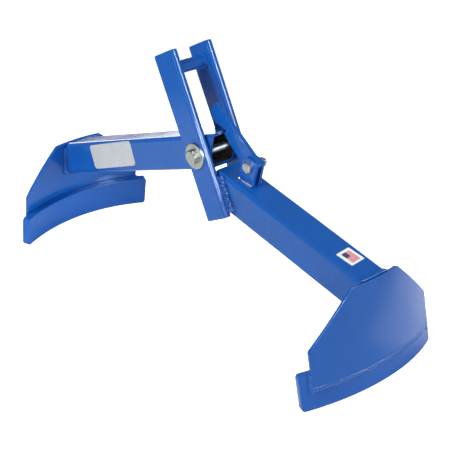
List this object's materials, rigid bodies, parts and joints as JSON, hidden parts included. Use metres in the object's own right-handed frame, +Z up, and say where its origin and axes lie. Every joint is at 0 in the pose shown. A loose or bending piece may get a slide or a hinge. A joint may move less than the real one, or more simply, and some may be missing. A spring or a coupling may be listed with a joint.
{
  "type": "drum lifting clamp",
  "caption": "Hinged tong for lifting upright steel drums: square tube arms with curved shoes, lift plates joined by a bar, and a notched latch lever.",
  "frame": {"origin": "centre of the outline on the floor, with the clamp standing open on the lower corners of its grip bands", "axes": "+X from the left arm to the right arm, +Y along the pivot bolt from its head to its nut, +Z up"},
  "size_m": [0.7056, 0.2558, 0.3836],
  "materials": {
    "blue_paint": "glossy powder coat",
    "zinc_plate": "bright zinc plate"
  },
  "bodies": {
    "right_arm": {"right_arm_tube": "blue_paint", "lift_plate_front": "blue_paint", "lift_plate_rear": "blue_paint", "lifting_bar": "blue_paint", "right_shoe_plate": "blue_paint", "right_grip_band": "blue_paint", "latch_ear_front": "blue_paint", "latch_ear_rear": "blue_paint", "lift_plate_welds": "blue_paint", "lifting_bar_welds": "blue_paint", "latch_ear_welds": "blue_paint", "right_arm_shoe_weld": "blue_paint", "right_grip_band_welds": "blue_paint", "pivot_bolt": "zinc_plate", "pivot_nut": "zinc_plate", "pivot_washer": "zinc_plate", "latch_bolt": "zinc_plate", "latch_nut": "zinc_plate"},
    "left_arm": {"left_arm_tube": "blue_paint", "left_shoe_plate": "blue_paint", "left_grip_band": "blue_paint", "left_arm_shoe_weld": "blue_paint", "left_grip_band_welds": "blue_paint"},
    "latch": {"latch_lever": "blue_paint"}
  },
  "joints": [
    {"name": "arm_pivot", "type": "hinge", "parent": "right_arm", "child": "left_arm", "pos_m": [0.02185, 0, 0.23944], "axis": [0, -1, 0], "range_deg": [0, 25]},
    {"name": "latch_pivot", "type": "hinge", "parent": "right_arm", "child": "latch", "pos_m": [0.09909, 0, 0.23727], "axis": [0, 1, 0], "range_deg": [0, 155]}
  ]
}
